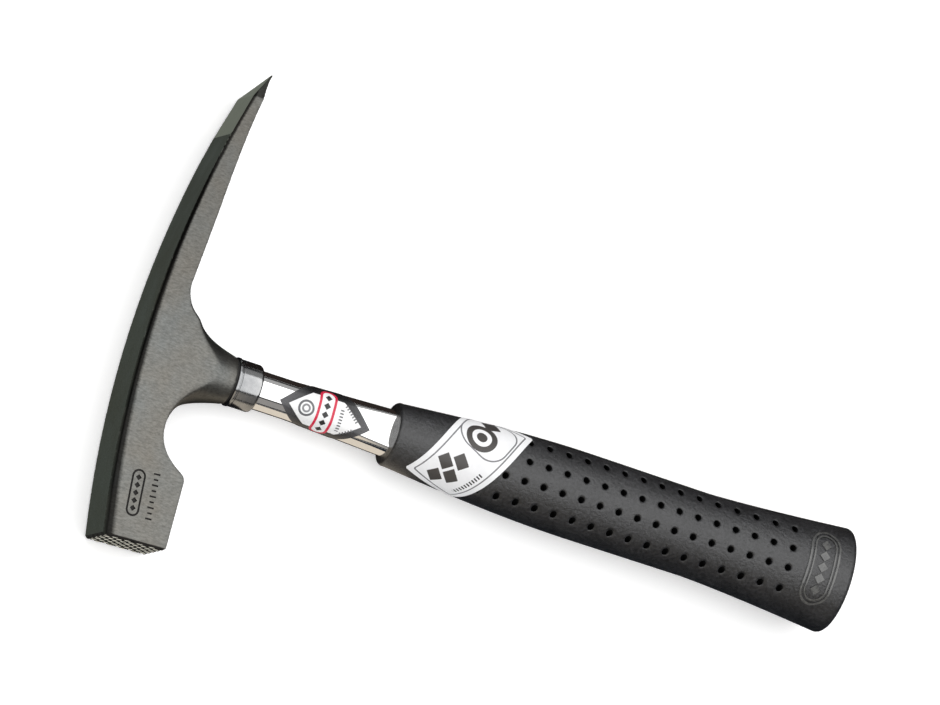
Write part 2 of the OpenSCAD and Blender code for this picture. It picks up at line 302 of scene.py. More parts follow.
# Painted shade: a near-black, dull finish for the chamfers, the chequer grooves and the stamped marks,
# where shade falls
painted_shade_finish = material("painted_shade_finish", Specular_IOR_Level=0.25)
shade_mottle = grain(painted_shade_finish, (900.0, 900.0, 900.0))
to_shader(
    painted_shade_finish,
    Base_Color=ramp(painted_shade_finish, shade_mottle, (0.3, (0.006, 0.006, 0.006)), (0.7, (0.020, 0.018, 0.016))),
    Roughness=spread(painted_shade_finish, shade_mottle, 0.55, 0.8),
)

worn_bright = material("worn_bright", Metallic=0.1)
rubs = grain(worn_bright, (700.0, 700.0, 700.0), detail=4.0)
to_shader(
    worn_bright,
    Base_Color=ramp(worn_bright, rubs, (0.32, (0.58, 0.56, 0.47)), (0.66, (0.95, 0.93, 0.80))),
    Roughness=spread(worn_bright, rubs, 0.35, 0.6),
)
head_finishes = [forged, ground, painted_shade_finish, worn_bright]
FORGED, GROUND, PAINTED_SHADE, BRIGHT = range(4)

head = bpy.data.objects.new("forged_head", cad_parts["head"].data.copy())
bpy.context.scene.collection.objects.link(head)
edit(head)
bpy.ops.mesh.remove_doubles(threshold=1e-6)
fine_voxel = 0.0005
worked(head, "REMESH", mode="VOXEL", voxel_size=fine_voxel, adaptivity=0.0)
worked(head, "SMOOTH", factor=0.5, iterations=5)
with_materials(head, head_finishes, FORGED)

# The cheeks run softly into the round neck
neck_group = head.vertex_groups.new(name="neck")
for vertex in head.data.vertices:
    from_web = (vertex.co.x - at(-41, 0).x) * 1000
    to_seal = (at(-12.2, 0).x - vertex.co.x) * 1000
    around = 24.0 - abs(vertex.co.y - axis_y) * 1000
    weight = min(1.0, from_web / 10, to_seal / 3, around / 5)
    if weight > 0:
        neck_group.add([vertex.index], weight, "REPLACE")
worked(head, "SMOOTH", factor=0.5, iterations=70, vertex_group="neck")
head.vertex_groups.clear()

# The outer face is one even sweep from the poll to the tip
for vertex in head.data.vertices:
    spoke = Vector((vertex.co.x, vertex.co.y)) - arc_centre
    if abs(spoke.length - outer_radius) < 0.0003:
        spoke *= outer_radius / spoke.length
        vertex.co.x = arc_centre.x + spoke.x
        vertex.co.y = arc_centre.y + spoke.y


def ground_off(piece, place, normal, finish, depth=0.00015):
    """Grinds away what stands above a plane, and gives the ground surface its finish."""
    reach = 0.06
    bpy.ops.mesh.primitive_cube_add(size=reach)
    wheel = bpy.context.object
    facing = normal.to_track_quat("Z", "Y").to_matrix().to_4x4()
    middle = place + normal.normalized() * (reach / 2 - depth)
    wheel.matrix_world = Matrix.Translation(middle) @ facing
    settled(wheel)
    with_materials(wheel, head_finishes, finish)
    cut(piece, wheel)


# The outer face is ground flat before the tip, then bevelled steeply, and the point's cheeks turn in
grind_start = at(-38.93, 98.7)
bevel_start = at(-35.68, 109.9)
bevel_end = at(-27.6, 121.9)
for begin, end in ((grind_start, bevel_start), (bevel_start, bevel_end)):
    run = end - begin
    ground_off(head, begin, Vector((-run.y, run.x, 0)), GROUND)
point_run = 11.9
shoulder_half, point_half = 9.6, 0.4
for side in (-1, 1):
    shoulder = at(-30, 110.0, side * shoulder_half)
    slope = Vector((0, shoulder_half - point_half, side * point_run))
    ground_off(head, shoulder, slope, FORGED)

# The striking face, square to a tilt, and its four chamfers
face_tilt = math.radians(2.4)
face_turn = Matrix.Rotation(face_tilt, 3, "Z")
face_centre = at(-35.2, -75.4)
face_half_depth = 0.0123
face_half_width = 0.01135
face_down = face_turn @ Vector((0, -1, 0))
face_along = face_turn @ Vector((1, 0, 0))
ground_off(head, face_centre, face_down, BRIGHT)
# The chamfers get the painted shade finish
for side in (-1, 1):
    along_edge = face_along * side
    ground_off(head, face_centre + along_edge * face_half_depth, face_down + along_edge, PAINTED_SHADE)
    cheek_edge = Vector((0, 0, side))
    ground_off(head, face_centre + cheek_edge * face_half_width, face_down + cheek_edge, PAINTED_SHADE)

# Chequering: two passes of a grooving cutter, corner to corner
groove_pitch = 0.0037
groove_depth = 0.0008
for diagonal in (-1, 1):
    grooves = []
    for step in range(-6, 7):
        bpy.ops.mesh.primitive_cylinder_add(vertices=4, radius=groove_depth * 1.25, depth=0.05)
        bar = bpy.context.object
        lie = Matrix.Rotation(math.radians(45) * diagonal, 4, "Y")
        slide = Matrix.Translation((step * groove_pitch, 0, 0))
        bar.matrix_world = (
            Matrix.Translation(face_centre + face_down * 0.00005) @ face_turn.to_4x4() @ lie @ slide
        )
        grooves.append(settled(bar))
    cutter = joined(grooves, "grooving_cutter")
    # The grooves get painted shade
    with_materials(cutter, head_finishes, PAINTED_SHADE)
    cut(head, cutter)


def oblong(length, width, thickness, corners=32):
    """A round-ended block, lying along Y: a cylinder pulled apart in the middle."""
    bpy.ops.mesh.primitive_cylinder_add(vertices=corners, radius=width / 2, depth=thickness)
    block = bpy.context.object
    for vertex in block.data.vertices:
        vertex.co.y += math.copysign((length - width) / 2, vertex.co.y)
    return block


# Stamped marks on the upper cheek: an oblong frame round a row of lozenges, and a row of ticks
cheek_up = 12.25
stamp_turn = math.radians(4.0)
stamp_depth = 0.0005
stamp_middle = at(-40.2, -56.3, cheek_up)
frame_long, frame_wide, frame_line = 0.0190, 0.0057, 0.0008
frame_groove = oblong(frame_long, frame_wide, 2 * stamp_depth)
cut(frame_groove, oblong(frame_long - 2 * frame_line, frame_wide - 2 * frame_line, 4 * stamp_depth))
marks = [frame_groove]
lozenge_pitch = 0.0031
for step in range(-2, 3):
    bpy.ops.mesh.primitive_cylinder_add(
        vertices=4, radius=0.00125, depth=2 * stamp_depth, location=(0, step * lozenge_pitch, 0)
    )
    marks.append(bpy.context.object)
ticks = 9
tick_pitch = 0.00225
for step in range(ticks):
    tall = 0.0019 if step % 2 else 0.0027
    bpy.ops.mesh.primitive_cube_add(size=1, location=(0.0072, (step - ticks // 2) * tick_pitch, 0))
    tick = bpy.context.object
    tick.scale = (tall, 0.0007, 2 * stamp_depth)
    marks.append(tick)
for mark in marks:
    settled(mark)
stamp = joined(marks, "stamp_cutter")
stamp.matrix_world = Matrix.Translation(stamp_middle) @ Matrix.Rotation(stamp_turn, 4, "Z")
settled(stamp)
# The stamped marks get painted shade
with_materials(stamp, head_finishes, PAINTED_SHADE)
cut(head, stamp)
only(head)
bpy.ops.object.shade_smooth_by_angle(angle=math.radians(32))
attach(head, "root")
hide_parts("head")

# ---------------------------------------------------------------------------
# Neck seal. A thin ring of black rubber, cut from a moulded tube and squeezed between
# the neck and the ferrule, so that no water creeps into the socket.
# ---------------------------------------------------------------------------


def turned(name, profile, steps=96):
    """Turns a profile of (along, radius) points, in millimetres, about the handle's axis."""
    bpy.ops.object.select_all(action="DESELECT")
    bpy.ops.mesh.primitive_plane_add(size=0.001, location=at(*profile[0]))
    piece = bpy.context.object
    piece.name = name
    settled(piece)
    edit(piece)
    bpy.ops.mesh.merge(type="CENTER")
    for before, after in zip(profile, profile[1:]):
        step = at(*after) - at(*before)
        bpy.ops.mesh.extrude_region_move(TRANSFORM_OT_translate={"value": step})
    bpy.ops.mesh.select_all(action="SELECT")
    bpy.ops.mesh.spin(steps=steps, angle=math.tau, center=at(0, 0), axis=(1, 0, 0))
    bpy.ops.mesh.select_all(action="SELECT")
    bpy.ops.mesh.remove_doubles(threshold=2e-6)
    bpy.ops.mesh.normals_make_consistent(inside=False)
    bpy.ops.object.mode_set(mode="OBJECT")
    return piece


def rounded(middle, radius, start, end, steps=6):
    """Points of a rounded corner in a profile, in degrees from the handle's direction."""
    corner = []
    for step in range(steps + 1):
        angle = math.radians(start + (end - start) * step / steps)
        corner.append((middle[0] + radius * math.cos(angle), middle[1] + radius * math.sin(angle)))
    return corner


seal_rubber = material("seal_rubber", Specular_IOR_Level=0.4)
seal_noise = grain(seal_rubber, (1200.0, 1200.0, 1200.0))
to_shader(
    seal_rubber,
    Base_Color=ramp(seal_rubber, seal_noise, (0.3, (0.010, 0.010, 0.010)), (0.7, (0.022, 0.021, 0.020))),
    Roughness=spread(seal_rubber, seal_noise, 0.5, 0.7),
    Normal=bumped(seal_rubber, seal_noise, 0.2, 0.00005),
)
seal = turned(
    "neck_seal_ring",
    [(-11.6, 7.95), (-11.6, 9.0), *rounded((-11.4, 9.0), 0.2, 180, 90, 3)]
    + [*rounded((-11.0, 9.0), 0.2, 90, 0, 3), (-10.8, 7.95), (-11.6, 7.95)],
)
with_materials(seal, [seal_rubber])
bpy.ops.object.shade_smooth_by_angle(angle=math.radians(35))
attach(seal, "root")
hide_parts("neck_seal")

# ---------------------------------------------------------------------------
# Ferrule. A short collar of polished steel, turned with a flange, a groove and a
# round front edge, and pressed over the tube against the seal.
# ---------------------------------------------------------------------------
polished = material("polished_steel", Metallic=1.0)
turning = grain(polished, (4200.0, 60.0, 60.0), detail=2.0)
smears = grain(polished, (120.0, 120.0, 120.0), detail=3.0)
to_shader(
    polished,
    Base_Color=ramp(polished, smears, (0.3, (0.26, 0.265, 0.27)), (0.7, (0.40, 0.40, 0.40))),
    Roughness=spread(polished, turning, 0.12, 0.22),
    Normal=bumped(polished, turning, 0.12, 0.00004),
)
ferrule = turned(
    "turned_ferrule",
    [(-10.8, 7.95), (-10.8, 9.7), *rounded((-10.5, 9.7), 0.3, 180, 90, 4)]
    + [*rounded((-9.75, 9.75), 0.25, 90, 0, 4), (-9.5, 9.5), (-9.45, 9.45), (-9.05, 9.45), (-9.0, 9.5)]
    + [(-9.0, 9.62), (-8.92, 9.7), *rounded((-1.5, 8.2), 1.5, 90, 0, 10), (0.0, 7.95), (-10.8, 7.95)],
    128,
)
with_materials(ferrule, [polished])
bpy.ops.object.shade_smooth_by_angle(angle=math.radians(35))
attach(ferrule, "root")
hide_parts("ferrule")

# ---------------------------------------------------------------------------
# Shaft. A drawn steel tube, polished and chromed. It is round at the head, and
# pressed wider and flatter where the grip starts, so that the head can't twist.
# ---------------------------------------------------------------------------
tube_start = -37.6
tube_stop = 243.4
round_end = 15.0
grip_front = 57.8
round_radius, flare_growth = 7.9, 1.8
flat_half, flat_press = 8.03, 0.73
wall = 1.5


def flared(along):
    """How far the flare has run: 0 where the tube is still round, 1 at the grip."""
    return min(1.0, max(0.0, (along - round_end) / (grip_front - round_end)))


def tube_round(along):
    """The tube's radius before its flats are pressed, in millimetres."""
    return round_radius + flare_growth * flared(along)


def tube_half(along):
    """Half the tube's thickness between its flats, in millimetres."""
    return flat_half - flat_press * flared(along)


def pressed(place, inset=0.0):
    """Presses the tube's flats into a place on the round tube, with soft creases."""
    along = (place.x - ferrule_front) * 1000
    flat = (tube_half(along) - inset) / 1000
    softness = 0.0004
    height = place.z - axis_z
    over = (abs(height) - flat) / softness
    kept = flat - softness * math.log1p(math.exp(-over)) if over > -20 else abs(height)
    return Vector((place.x, place.y, axis_z + math.copysign(kept, height)))


chrome = material("shaft_chrome", Metallic=1.0)
drawing = grain(chrome, (30.0, 2600.0, 2600.0), detail=2.0)
haze = grain(chrome, (90.0, 90.0, 90.0), detail=4.0)
to_shader(
    chrome,
    Base_Color=ramp(chrome, haze, (0.3, (0.86, 0.855, 0.85)), (0.7, (0.93, 0.925, 0.92))),
    Roughness=spread(chrome, haze, 0.035, 0.075),
    Normal=bumped(chrome, drawing, 0.05, 0.00002),
)
stations = sorted([tube_start, *range(60), grip_front, 120.0, 180.0, tube_stop])
outer_line = [(along, tube_round(along)) for along in stations]
inner_line = [(along, tube_round(along) - wall) for along in reversed(stations)]
tube = turned("chromed_tube", [*outer_line, *inner_line, outer_line[0]], 128)
for vertex in tube.data.vertices:
    reach = math.hypot(vertex.co.y - axis_y, vertex.co.z - axis_z) * 1000
    inner = reach < tube_round((vertex.co.x - ferrule_front) * 1000) - wall / 2
    vertex.co = pressed(vertex.co, wall if inner else 0.0)
with_materials(tube, [chrome])
only(tube)
bpy.ops.object.shade_smooth_by_angle(angle=math.radians(40))
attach(tube, "root")
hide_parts("shaft_tube")

# ---------------------------------------------------------------------------
# Inside the tube. A tapered steel plug spreads the tube in the head's socket, a
# wooden core deadens the blow, and a plastic plug closes the tube under the grip.
# ---------------------------------------------------------------------------
plug_steel = material("plug_steel", Metallic=1.0)
plug_lines = grain(plug_steel, (3500.0, 200.0, 200.0), detail=2.0)
to_shader(
    plug_steel,
    Base_Color=ramp(plug_steel, plug_lines, (0.3, (0.22, 0.22, 0.21)), (0.7, (0.38, 0.37, 0.36))),
    Roughness=spread(plug_steel, plug_lines, 0.35, 0.5),
)
core_wood = material("core_wood", Roughness=0.7)
wood_grain = grain(core_wood, (60.0, 900.0, 900.0), detail=5.0)
to_shader(
    core_wood,
    Base_Color=ramp(core_wood, wood_grain, (0.3, (0.28, 0.16, 0.07)), (0.7, (0.52, 0.34, 0.18))),
    Normal=bumped(core_wood, wood_grain, 0.4, 0.0002),
)
plug_plastic = material("plug_plastic", Specular_IOR_Level=0.45)
plug_noise = grain(plug_plastic, (700.0, 700.0, 700.0))
to_shader(
    plug_plastic,
    Base_Color=ramp(plug_plastic, plug_noise, (0.3, (0.020, 0.021, 0.022)), (0.7, (0.034, 0.035, 0.036))),
    Roughness=spread(plug_plastic, plug_noise, 0.4, 0.55),
)
inner_finishes = {"expansion_plug": plug_steel, "damping_core": core_wood, "end_plug": plug_plastic}
for inner_name, inner_finish in inner_finishes.items():
    inner_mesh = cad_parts[inner_name].data
    inner_mesh.materials.clear()
    inner_mesh.materials.append(inner_finish)

# ---------------------------------------------------------------------------
# Grip. Black vinyl rubber moulded over the tube: a small bead at the front, a swell
# for the fingers, four rows of blind holes on both sides, and a flared, domed butt.
# ---------------------------------------------------------------------------
bead_end, bead_radius = 60.2, 13.0
swell_along, swell_radius = 139.8, 17.6
waist_along, waist_radius = 191.0, 17.3
butt_edge, butt_radius = 253.4, 21.54
edge_round = 2.2
grip_end = 255.4


def grip_radius(along):
    """The grip's radius at a distance from the ferrule's front end, in millimetres."""
    if along < swell_along:
        share = max(0.0, along - bead_end) / (swell_along - bead_end)
        return bead_radius + (swell_radius - bead_radius) * math.sin(math.radians(90) * share)
    if along < waist_along:
        share = (along - swell_along) / (waist_along - swell_along)
        return swell_radius - (swell_radius - waist_radius) * share
    share = (along - waist_along) / (butt_edge - edge_round - waist_along)
    return waist_radius + (butt_radius - waist_radius) * share**1.35


def on_grip(place, side, lift):
    """The height of the grip's surface over a place, on its upper or its lower side."""
    along = (place.x - ferrule_front) * 1000
    radius = grip_radius(min(along, butt_edge)) / 1000
    across = min(abs(place.y - axis_y), radius * 0.9995)
    return axis_z + side * (math.sqrt(radius * radius - across * across) + lift)


grip_rubber = material("grip_rubber", Specular_IOR_Level=0.85)
leather = grain(grip_rubber, (780.0, 780.0, 780.0), detail=5.0, roughness=0.7)
scuffs = grain(grip_rubber, (60.0, 110.0, 110.0), detail=4.0)
rubber_tone = ramp(
    grip_rubber, leather, (0.40, (0.0030, 0.0032, 0.0040)), (0.62, (0.021, 0.0214, 0.0238))
)
scuff_tone = ramp(grip_rubber, scuffs, (0.35, (0.80, 0.80, 0.80)), (0.7, (1.25, 1.25, 1.25)))
to_shader(
    grip_rubber,
    Base_Color=blended(grip_rubber, 1.0, rubber_tone, scuff_tone, "MULTIPLY"),
    Roughness=spread(grip_rubber, scuffs, 0.33, 0.45),
    Normal=bumped(grip_rubber, leather, 0.85, 0.00050),
)
# Painted shade in the holes: their walls get a near-black, dull rubber where shade falls
hole_painted_shade = material("hole_painted_shade", Specular_IOR_Level=0.1, Roughness=0.9)
hole_noise = grain(hole_painted_shade, (900.0, 900.0, 900.0))
to_shader(
    hole_painted_shade,
    Base_Color=ramp(hole_painted_shade, hole_noise, (0.3, (0.002, 0.002, 0.002)), (0.7, (0.006, 0.006, 0.006))),
)
# The badge's raised lines are glossier, and their lighter tone is a painted highlight
highlit_rubber = material("badge_rubber_painted_highlight", Specular_IOR_Level=1.0)
badge_mottle = grain(highlit_rubber, (500.0, 500.0, 500.0), detail=4.0)
to_shader(
    highlit_rubber,
    Base_Color=ramp(highlit_rubber, badge_mottle, (0.3, (0.035, 0.035, 0.035)), (0.7, (0.085, 0.085, 0.080))),
    Roughness=spread(highlit_rubber, badge_mottle, 0.22, 0.36),
)
grip_finishes = [grip_rubber, hole_painted_shade, highlit_rubber]
RUBBER, HOLE_SHADE, HIGHLIT = range(3)

grip_profile = [(grip_front, 0.0), (grip_front, 9.9), (grip_front, 11.6)]
grip_profile += rounded((grip_front + 1.2, bead_radius - 1.2), 1.2, 180, 90, 6)
grip_profile += [(bead_end + 1.5 * step, grip_radius(bead_end + 1.5 * step)) for step in range(127)]
grip_profile += [*rounded((butt_edge - edge_round, butt_radius - edge_round), edge_round, 90, 18, 6)]
grip_profile += [(254.4, 14.3), (255.15, 7.8), (255.35, 3.8), (grip_end, 0.0)]
grip = turned("moulded_grip", grip_profile, 160)
with_materials(grip, grip_finishes, RUBBER)

# One hole, with the soft lip that the mould's pin leaves, then a copy for every place
bpy.ops.mesh.primitive_cylinder_add(vertices=20, radius=0.00125, depth=0.0042, location=(0, 0, -0.0026))
pin = settled(bpy.context.object)
hole_columns = 17
pick_faces(pin, lambda face: face.normal.z > 0.9)
for widening, rise in ((1.16, 0.00028), (1.20, 0.00017), (1.25, 0.00012), (1.0, 0.0012)):
    bpy.ops.mesh.extrude_region_move(TRANSFORM_OT_translate={"value": (0, 0, rise)})
    bpy.ops.transform.resize(value=(widening, widening, 1))
bpy.ops.object.mode_set(mode="OBJECT")
hole_pitch = 8.165
last_hole = 226.7
pins = []
for side in (-1, 1):
    for column in range(hole_columns):
        for row in (-1.5, -0.5, 0.5, 1.5):
            copied = bpy.data.objects.new("pin", pin.data.copy())
            bpy.context.scene.collection.objects.link(copied)
            middle = at(last_hole - column * hole_pitch, row * hole_pitch)
            for vertex in copied.data.vertices:
                place = middle + Vector((vertex.co.x, vertex.co.y, 0))
                vertex.co = Vector((place.x, place.y, on_grip(place, side, vertex.co.z)))
            pins.append(copied)
bpy.data.objects.remove(pin)
pins = joined(pins, "mould_pins")
edit(pins)
bpy.ops.mesh.normals_make_consistent(inside=False)
bpy.ops.object.mode_set(mode="OBJECT")
with_materials(pins, grip_finishes, RUBBER)
lip_depth = 0.0009
# Faces sunk below the lip take the holes' painted shade
for face in pins.data.polygons:
    side = math.copysign(1, face.center.z - axis_z)
    corners = [pins.data.vertices[index].co for index in face.vertices]
    sunk = sum((on_grip(corner, side, 0.0) - corner.z) * side for corner in corners) / len(corners)
    face.material_index = HOLE_SHADE if sunk > lip_depth else RUBBER
cut(grip, pins)

# The raised badge on the butt: a double oblong line round a row of lozenges
badge_along = 240.0


def raised_line(length, width, line, height):
    """A raised round-ended line: an oblong block with its middle sunk."""
    block = oblong(length, width, 2 * height, 48)
    long_side = 0.6 * height * (length - width)
    pick_faces(block, lambda face: abs(face.normal.z) < 0.1 and face.area > long_side)
    bpy.ops.mesh.subdivide(number_cuts=11)
    pick_faces(block, lambda face: face.normal.z > 0.9)
    bpy.ops.mesh.inset(thickness=line)
    bpy.ops.mesh.extrude_region_move(TRANSFORM_OT_translate={"value": (0, 0, -1.7 * height)})
    bpy.ops.object.mode_set(mode="OBJECT")
    return block


badge_height = 0.00045
outer_line_of_badge = raised_line(0.0300, 0.0124, 0.0008, badge_height)
inner_line_of_badge = raised_line(0.0268, 0.0092, 0.0006, badge_height)
reliefs = [outer_line_of_badge, inner_line_of_badge]
for step in range(-2, 3):
    bpy.ops.mesh.primitive_cylinder_add(
        vertices=4, radius=0.0021, depth=2 * badge_height, location=(0, step * 0.0046, 0)
    )
    reliefs.append(settled(bpy.context.object))
for relief in reliefs:
    for vertex in relief.data.vertices:
        place = at(badge_along, 0.0) + Vector((vertex.co.x, vertex.co.y, 0))
        vertex.co = Vector((place.x, place.y, on_grip(place, 1, vertex.co.z)))
    # The raised lines take the painted highlight
    with_materials(relief, grip_finishes, HIGHLIT)
    cut(grip, relief, "UNION")
only(grip)
bpy.ops.object.shade_smooth_by_angle(angle=math.radians(38))
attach(grip, "root")
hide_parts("grip")

# ---------------------------------------------------------------------------
# Tube label. A lozenge of printed foil wrapped round the tube: white fields in a black
# border, and a red and white band across it. Its signs are plain rings, lozenges and ticks.
# ---------------------------------------------------------------------------


def patch(made, place, middle, size, corner=0.0, turn=0.0):
    """A mask that is 1 in a rounded rectangle, in millimetres on a label's print."""
    moved = node(
        made,
        "Mapping",
        {"Vector": place, "Location": (*middle, 0), "Rotation": (0, 0, math.radians(turn))},
        vector_type="TEXTURE",
    )
    folded = node(made, "VectorMath", {0: moved.outputs["Vector"]}, operation="ABSOLUTE")
    inner = (size[0] / 2 - corner, size[1] / 2 - corner, 1.0)
    beyond = node(made, "VectorMath", {0: folded.outputs["Vector"], 1: inner}, operation="SUBTRACT")
    outside = node(made, "VectorMath", {0: beyond.outputs["Vector"], 1: (0, 0, 0)}, operation="MAXIMUM")
    reach = node(made, "VectorMath", {0: outside.outputs["Vector"]}, operation="LENGTH")
    inside = node(made, "Math", {0: reach.outputs["Value"], 1: corner + 0.001}, operation="LESS_THAN")
    return inside.outputs["Value"]


def row_of(made, place, middle, pitch, turn=0.0):
    """Print coordinates that repeat along a row."""
    moved = node(
        made,
        "Mapping",
        {"Vector": place, "Location": (*middle, 0), "Rotation": (0, 0, math.radians(turn))},
        vector_type="TEXTURE",
    )
    parts = node(made, "SeparateXYZ", {"Vector": moved.outputs["Vector"]})
    wrapped = node(made, "Math", {0: parts.outputs["X"], 1: -pitch / 2, 2: pitch / 2}, operation="WRAP")
    repeated = node(made, "CombineXYZ", {"X": wrapped.outputs["Value"], "Y": parts.outputs["Y"]})
    return repeated.outputs["Vector"]


def both(made, first, second):
    """Where two masks are both 1."""
    return node(made, "Math", {0: first, 1: second}, operation="MULTIPLY").outputs["Value"]


def flat_print(name, size, cuts):
    """A thin flat film, cut to its outline by straight cuts, with its print laid out in millimetres."""
    bpy.ops.mesh.primitive_grid_add(x_subdivisions=int(size), y_subdivisions=int(size), size=size / 1000)
    film = bpy.context.object
    film.name = name
    for place, normal in cuts:
        edit(film)
        bpy.ops.mesh.bisect(
            plane_co=(place[0] / 1000, place[1] / 1000, 0), plane_no=(*normal, 0), clear_outer=True
        )
    edit(film)
    bpy.ops.mesh.extrude_region_move(TRANSFORM_OT_translate={"value": (0, 0, 0.00014)})
    bpy.ops.mesh.select_all(action="SELECT")
    bpy.ops.mesh.normals_make_consistent(inside=False)
    bpy.ops.object.mode_set(mode="OBJECT")
    layout = film.data.uv_layers.new(name="print")
    for loop in film.data.loops:
        flat = film.data.vertices[loop.vertex_index].co
        layout.data[loop.index].uv = (flat.x * 10, flat.y * 10)
    while len(film.data.uv_layers) > 1:
        film.data.uv_layers.remove(film.data.uv_layers[0])
    return film


def print_place(made):
    """The print's own coordinates, in millimetres."""
    lay = node(made, "UVMap", uv_map="print")
    return node(made, "Mapping", {"Vector": lay.outputs["UV"], "Scale": (100, 100, 1)}).outputs["Vector"]


label_foil = material("label_foil", Specular_IOR_Level=0.5)
place = print_place(label_foil)
white = (0.86, 0.86, 0.86, 1)
ink = (0.012, 0.012, 0.013, 1)
grey_ink = (0.07, 0.07, 0.075, 1)
red_ink = (0.62, 0.012, 0.055, 1)
half_long, half_high = 19.6, 16.3
quadrant = node(label_foil, "VectorMath", {0: place}, operation="ABSOLUTE").outputs["Vector"]
along_parts = node(label_foil, "SeparateXYZ", {"Vector": quadrant})
edge_x = node(label_foil, "Math", {0: along_parts.outputs["X"], 1: half_long}, operation="DIVIDE")
edge_y = node(label_foil, "Math", {0: along_parts.outputs["Y"], 1: half_high}, operation="DIVIDE")
lozenge = node(
    label_foil, "Math", {0: edge_x.outputs["Value"], 1: edge_y.outputs["Value"]}, operation="ADD"
)
to_points = node(
    label_foil, "MapRange", {"Value": along_parts.outputs["X"], "From Min": 8.0, "From Max": 17.0}
)
print_tone = blended(label_foil, to_points.outputs["Result"], ink, grey_ink)
within = node(label_foil, "Math", {0: lozenge.outputs["Value"], 1: 0.80}, operation="LESS_THAN")
inside_field = within.outputs["Value"]
print_tone = blended(label_foil, inside_field, print_tone, white)
field_band = patch(label_foil, place, (0, 0), (40.0, 15.0))
outside_band = node(label_foil, "Math", {0: 1.0, 1: field_band}, operation="SUBTRACT").outputs["Value"]
print_tone = blended(label_foil, both(label_foil, inside_field, outside_band), print_tone, ink)
dark_ring, pale_ring = (0.12, 0.12, 0.13, 1), (0.22, 0.22, 0.23, 1)
for size, tone in ((6.8, dark_ring), (5.0, white), (3.6, pale_ring), (2.0, white)):
    print_tone = blended(
        label_foil, patch(label_foil, place, (-8.2, 0.2), (size, size), size / 2, 20.0), print_tone, tone
    )
tick_row = row_of(label_foil, place, (6.6, 0.0), 1.3, 90.0)
tick_mask = both(
    label_foil,
    patch(label_foil, tick_row, (0, 0), (0.62, 1.5)),
    patch(label_foil, place, (6.6, -0.6), (2.0, 9.5)),
)
print_tone = blended(label_foil, tick_mask, print_tone, (0.10, 0.10, 0.11, 1))
for middle, turn, reach in (((10.6, 3.6), -42.0, 8.0), ((10.4, -4.4), 40.0, 6.4)):
    slant_row = row_of(label_foil, place, middle, 1.2, turn)
    slant_mask = both(
        label_foil,
        patch(label_foil, slant_row, (0, 0), (0.55, 1.2)),
        patch(label_foil, place, middle, (reach, 1.6), 0.0, turn),
    )
    print_tone = blended(label_foil, slant_mask, print_tone, (0.12, 0.12, 0.13, 1))
for size, corner, tone in (((7.4, 22.4), 3.6, red_ink), ((5.2, 20.2), 2.6, white)):
    print_tone = blended(label_foil, patch(label_foil, place, (0, 0), size, corner), print_tone, tone)
sign_row = row_of(label_foil, place, (0, 0), 3.6, 90.0)
sign_mask = both(
    label_foil,
    patch(label_foil, sign_row, (0, 0), (2.1, 2.1), 0.0, 45.0),
    patch(label_foil, place, (0, 0), (5.0, 18.0)),
)
print_tone = blended(label_foil, sign_mask, print_tone, ink)
foil_noise = grain(label_foil, (300.0, 300.0, 300.0))
foil_shade = ramp(label_foil, foil_noise, (0.3, (0.93, 0.93, 0.93)), (0.7, (1, 1, 1)))
to_shader(
    label_foil,
    Base_Color=blended(label_foil, 1.0, print_tone, foil_shade, "MULTIPLY"),
    Roughness=spread(label_foil, foil_noise, 0.22, 0.34),
    Normal=bumped(label_foil, foil_noise, 0.05, 0.00004),
)

lozenge_cuts = []
for sign_x in (-1, 1):
    for sign_y in (-1, 1):
        lozenge_cuts.append(((sign_x * half_long, 0), (sign_x * half_high, sign_y * half_long)))
tube_label = flat_print("tube_label_foil", 42.0, lozenge_cuts)
label_along = 28.1
label_turn = math.radians(-15.7)
for vertex in tube_label.data.vertices:
    along = label_along + vertex.co.x * 1000
    radius = (tube_round(along) + 0.03) / 1000 + vertex.co.z
    angle = label_turn + vertex.co.y / radius
    wrapped = at(along, 0) + Vector((0, radius * math.sin(angle), radius * math.cos(angle)))
    vertex.co = pressed(wrapped, -0.03 - vertex.co.z * 1000)
with_materials(tube_label, [label_foil])
only(tube_label)
bpy.ops.object.shade_smooth_by_angle(angle=math.radians(40))
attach(tube_label, "root")
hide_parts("tube_label")

# ---------------------------------------------------------------------------
# Grip label. A leaning rectangle of white film stuck round the grip's front, with a
# thin grey border, slanted tiles below, and a round frame with a ring and a tile above.
# ---------------------------------------------------------------------------
label_film = material("label_film", Specular_IOR_Level=0.5)
place = print_place(label_film)
film_white = (0.84, 0.84, 0.85, 1)
line_grey = (0.18, 0.18, 0.19, 1)
sign_grey = (0.055, 0.050, 0.047, 1)
film_long, film_wide = 50.0, 27.0


def layered(tone, *layers):
    """Lays rounded rectangles over each other: (middle, size, corner, turn, colour)."""
    for middle, size, corner, turn, colour in layers:
        tone = blended(label_film, patch(label_film, place, middle, size, corner, turn), tone, colour)
    return tone


